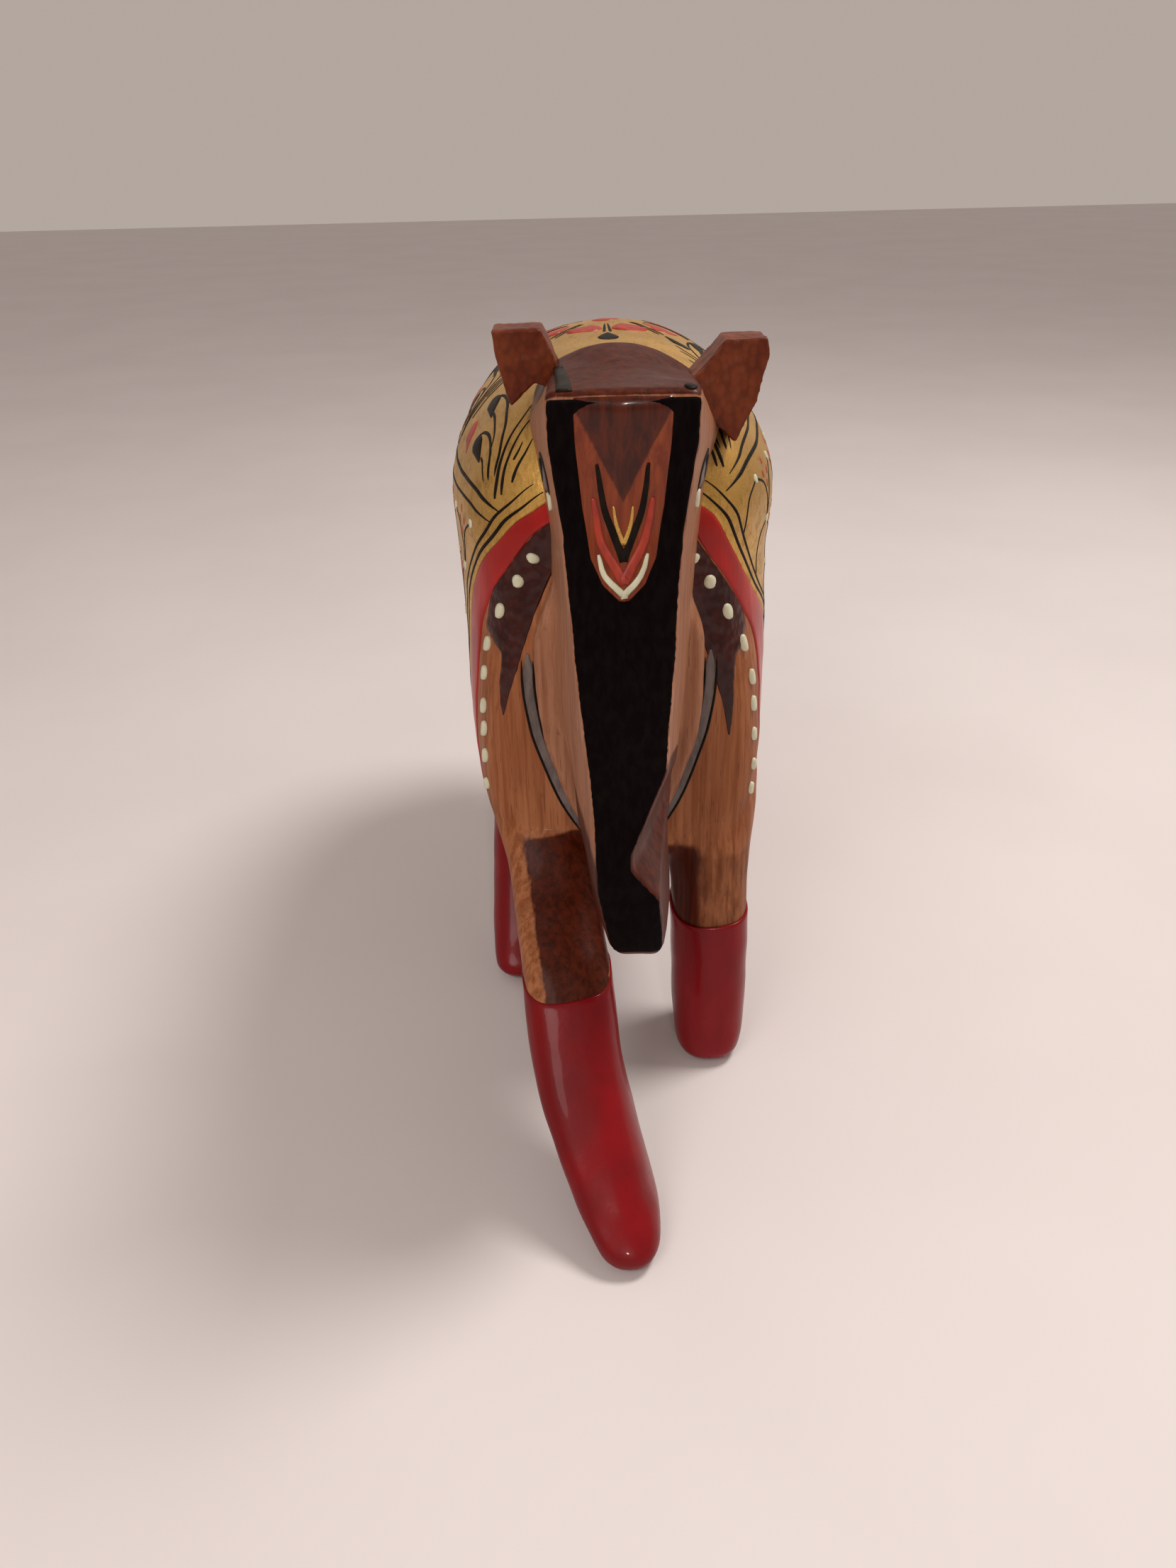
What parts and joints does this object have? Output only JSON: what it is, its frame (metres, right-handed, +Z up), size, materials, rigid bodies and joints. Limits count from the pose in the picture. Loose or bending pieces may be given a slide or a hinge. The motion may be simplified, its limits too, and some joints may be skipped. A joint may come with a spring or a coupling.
{
  "type": "wooden elephant figurine",
  "caption": "Hand-carved wooden elephant figurine in a walking pose, with a painted gold saddle cloth, black trunk front and red feet.",
  "frame": {"origin": "on the surface that the feet stand on, under the centre of the figure's bounding box", "axes": "-Y towards the trunk and forehead, +Z up, +X to the animal's left"},
  "size_m": [0.0648, 0.19, 0.1515],
  "materials": {
    "painted_wood": "reddish-brown stain under satin lacquer, fine vertical grain, gouge marks",
    "pale_wood": "orange-brown wood under satin lacquer, open vertical grain",
    "red_paint": "glossy crimson enamel brushed on wood, slightly uneven at its upper edge",
    "gold_paint": "metallic gold paint with brush marks and black line work",
    "black_paint": "black lacquer paint",
    "cream_paint": "raised cream paint dots",
    "grey_paint": "matt grey paint in a carved groove with thin dark outlines"
  },
  "bodies": {
    "root": {"torso": "painted_wood", "head_and_trunk": "pale_wood", "left_ear": "painted_wood", "right_ear": "painted_wood", "tail": "painted_wood", "front_left_leg": "pale_wood", "front_right_leg": "pale_wood", "rear_left_leg": "pale_wood", "rear_right_leg": "pale_wood", "front_left_foot": "red_paint", "front_right_foot": "red_paint", "rear_left_foot": "red_paint", "rear_right_foot": "red_paint", "neck_band": "grey_paint", "trunk_coat": "black_paint", "forehead_panel": "painted_wood", "left_eye": "black_paint", "right_eye": "black_paint", "saddle_coat": "gold_paint", "saddle_border": "red_paint", "left_dots": "cream_paint", "right_dots": "cream_paint"}
  },
  "joints": []
}
